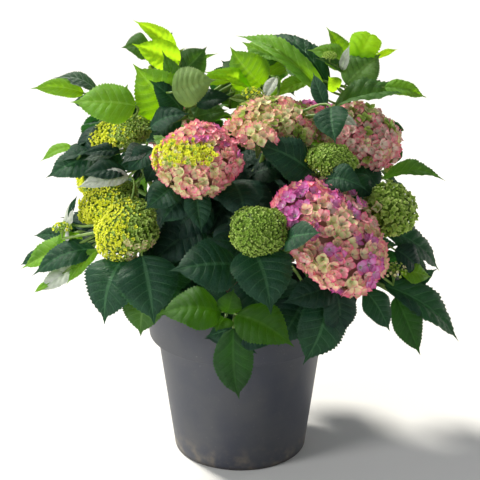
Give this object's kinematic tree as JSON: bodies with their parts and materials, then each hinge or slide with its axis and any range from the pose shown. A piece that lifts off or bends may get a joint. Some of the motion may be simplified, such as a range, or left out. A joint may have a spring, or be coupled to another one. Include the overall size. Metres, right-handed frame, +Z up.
{
  "type": "potted bigleaf hydrangea shrub",
  "caption": "Rounded hydrangea shrub with domed pink and green flower heads over broad toothed leaves, in a dark grey plastic nursery pot with a wide collar.",
  "frame": {"origin": "centre of the pot's flat underside", "axes": "+Z up; -Y towards the side of the plant that carries the large front flower head; +X to that viewer's right"},
  "size_m": [0.6311, 0.5418, 0.6391],
  "materials": {
    "pot": "satin",
    "soil": "matte",
    "wood": "matte",
    "shoot": "satin",
    "leaf": "satin",
    "bloom_pink": "matte",
    "bloom_green": "matte"
  },
  "bodies": {
    "root": {"bloom_green_back": "bloom_green", "bloom_green_back_left": "bloom_green", "bloom_green_front": "bloom_green", "bloom_green_left": "bloom_green", "bloom_green_left_low": "bloom_green", "bloom_green_left_rear": "bloom_green", "bloom_green_right": "bloom_green", "bloom_green_right_rear": "bloom_green", "bloom_pink_back": "bloom_pink", "bloom_pink_back_right": "bloom_pink", "bloom_pink_front": "bloom_pink", "bloom_pink_left": "bloom_pink", "bloom_pink_middle": "bloom_pink", "bloom_pink_right": "bloom_pink", "bough_back_left": "wood", "bough_back_right": "wood", "bough_front": "wood", "bough_left": "wood", "bough_middle": "wood", "bough_right": "wood", "foliage_back_left": "leaf", "foliage_back_low_left": "leaf", "foliage_back_low_right": "leaf", "foliage_back_middle": "leaf", "foliage_back_right": "leaf", "foliage_back_skirt": "leaf", "foliage_back_top": "leaf", "foliage_front_left": "leaf", "foliage_front_middle": "leaf", "foliage_front_right": "leaf", "foliage_front_skirt": "leaf", "foliage_left_low": "leaf", "foliage_left_middle": "leaf", "foliage_left_upper": "leaf", "foliage_right_low": "leaf", "foliage_right_middle": "leaf", "foliage_top_left": "leaf", "foliage_top_middle": "leaf", "foliage_top_right": "leaf", "pot": "pot", "shoot_back_right": "shoot", "shoot_green_back_left": "shoot", "shoot_green_left": "shoot", "shoot_green_left_low": "shoot", "shoot_pink_back": "shoot", "shoot_pink_back_right": "shoot", "shoot_pink_front": "shoot", "shoot_pink_left": "shoot", "shoot_pink_middle": "shoot", "shoot_pink_right": "shoot", "shoot_top_left": "shoot", "shoot_top_right": "shoot", "soil": "soil", "stool": "wood"}
  },
  "joints": []
}
